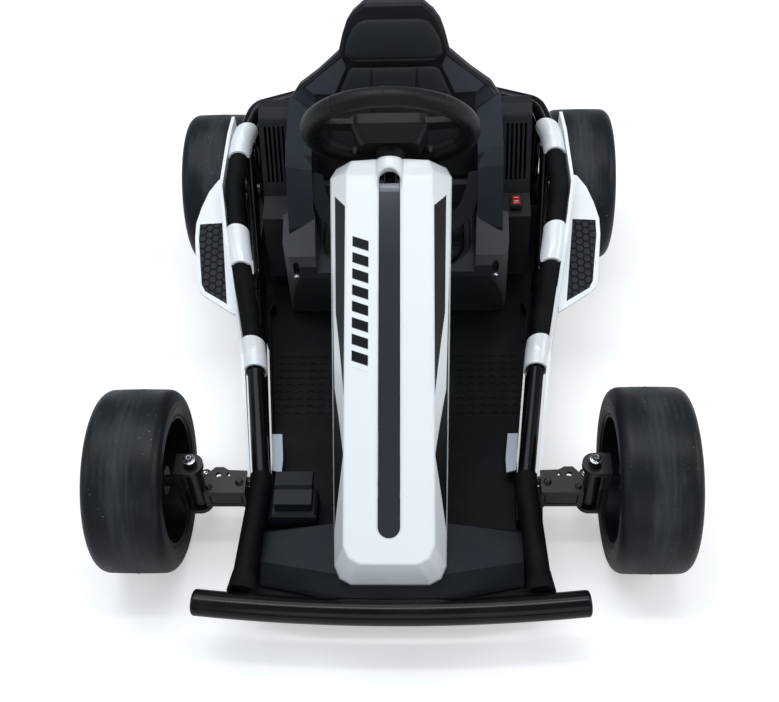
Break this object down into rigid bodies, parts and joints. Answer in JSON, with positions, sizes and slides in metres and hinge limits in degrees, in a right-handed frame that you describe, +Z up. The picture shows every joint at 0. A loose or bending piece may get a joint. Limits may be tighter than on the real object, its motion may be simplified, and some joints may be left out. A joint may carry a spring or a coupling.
{
  "type": "electric drift kart",
  "caption": "Low electric drift kart for a child: tube frame, rising front fairing with steering wheel, bucket seat and four smooth wheels.",
  "frame": {"origin": "on the ground, at the bottom centre of the whole box", "axes": "+Z up, the front of the kart towards -Y, the driver's left on +X"},
  "size_m": [0.803, 0.9424, 0.5408],
  "materials": {
    "black_gloss_paint": "gloss",
    "black_matte_plastic": "matte",
    "white_gloss_plastic": "gloss",
    "dark_lens": "gloss",
    "black_chassis_paint": "satin",
    "bright_steel": "satin",
    "tyre_black": "matte",
    "seat_black": "satin",
    "soft_black": "satin",
    "battery_grey": "matte",
    "sill_grey": "satin",
    "band_grey": "satin",
    "pad_black": "matte",
    "switch_red": "gloss"
  },
  "bodies": {
    "chassis": {"accelerator_pedal": "black_matte_plastic", "back_pad": "soft_black", "battery_pack": "battery_grey", "column_bearing": "black_chassis_paint", "fairing_lens": "dark_lens", "fairing_shell": "white_gloss_plastic", "floor_tray": "black_matte_plastic", "front_axle_beam": "black_chassis_paint", "front_bumper": "black_gloss_paint", "front_pan": "black_matte_plastic", "gearbox_left": "black_matte_plastic", "gearbox_right": "black_matte_plastic", "headrest_pad": "soft_black", "lower_rails": "black_gloss_paint", "pedal_base": "black_matte_plastic", "power_switch": "switch_red", "rail_grips": "black_matte_plastic", "rail_sleeve_left": "black_matte_plastic", "rail_sleeve_right": "black_matte_plastic", "rear_axle": "bright_steel", "rear_legs": "black_gloss_paint", "rear_shroud_left": "black_matte_plastic", "rear_shroud_right": "black_matte_plastic", "rear_stays": "black_gloss_paint", "seat_bands": "band_grey", "seat_base": "black_matte_plastic", "seat_cushion": "soft_black", "seat_shell": "seat_black", "side_hoop": "black_gloss_paint", "side_panel_left": "white_gloss_plastic", "side_panel_right": "white_gloss_plastic", "sill_plate_left": "sill_grey", "sill_plate_right": "sill_grey", "steering_tunnel": "black_matte_plastic", "step_pad_left": "pad_black", "step_pad_right": "pad_black"},
    "wheel_front_left": {"tyre_front_left": "tyre_black", "rim_front_left": "black_matte_plastic"},
    "wheel_front_right": {"tyre_front_right": "tyre_black", "rim_front_right": "black_matte_plastic"},
    "wheel_rear_left": {"tyre_rear_left": "tyre_black", "rim_rear_left": "black_matte_plastic"},
    "wheel_rear_right": {"tyre_rear_right": "tyre_black", "rim_rear_right": "black_matte_plastic"},
    "knuckle_left": {"knuckle_left": "black_chassis_paint"},
    "knuckle_right": {"knuckle_right": "black_chassis_paint"},
    "tie_rod": {"tie_rod": "black_chassis_paint"},
    "pitman": {"pitman_arm": "black_chassis_paint"},
    "steering": {"steering_wheel": "soft_black", "steering_shaft": "bright_steel"}
  },
  "joints": [
    {"name": "steering_turn", "type": "hinge", "parent": "chassis", "child": "steering", "pos_m": [0, 0.11825, 0.428], "axis": [0, 0.8746, 0.4848], "range_deg": [-30, 30]},
    {"name": "pitman_turn", "type": "hinge", "parent": "chassis", "child": "pitman", "pos_m": [0, -0.23675, 0.12], "axis": [0, 0, 1], "range_deg": [-30, 30]},
    {"name": "knuckle_left_turn", "type": "hinge", "parent": "chassis", "child": "knuckle_left", "pos_m": [0.275, -0.26675, 0.112], "axis": [0, 0, 1], "range_deg": [-30, 30]},
    {"name": "knuckle_right_turn", "type": "hinge", "parent": "chassis", "child": "knuckle_right", "pos_m": [-0.275, -0.26675, 0.112], "axis": [0, 0, 1], "range_deg": [-30, 30]},
    {"name": "tie_rod_turn", "type": "hinge", "parent": "knuckle_left", "child": "tie_rod", "pos_m": [0.275, -0.22175, 0.054], "axis": [0, 0, 1], "range_deg": [-30, 30]},
    {"name": "wheel_front_left_spin", "type": "hinge", "parent": "knuckle_left", "child": "wheel_front_left", "pos_m": [0.349, -0.26675, 0.128], "axis": [1, 0, 0], "continuous": true},
    {"name": "wheel_front_right_spin", "type": "hinge", "parent": "knuckle_right", "child": "wheel_front_right", "pos_m": [-0.349, -0.26675, 0.128], "axis": [1, 0, 0], "continuous": true},
    {"name": "wheel_rear_left_spin", "type": "hinge", "parent": "chassis", "child": "wheel_rear_left", "pos_m": [0.3045, 0.34325, 0.128], "axis": [1, 0, 0], "continuous": true},
    {"name": "wheel_rear_right_spin", "type": "hinge", "parent": "chassis", "child": "wheel_rear_right", "pos_m": [-0.3045, 0.34325, 0.128], "axis": [1, 0, 0], "continuous": true}
  ],
  "couplings": [
    {"joint": "pitman_turn", "follows": "steering_turn", "ratio": 1},
    {"joint": "knuckle_left_turn", "follows": "steering_turn", "ratio": 1},
    {"joint": "knuckle_right_turn", "follows": "steering_turn", "ratio": 1},
    {"joint": "tie_rod_turn", "follows": "steering_turn", "ratio": -1}
  ]
}
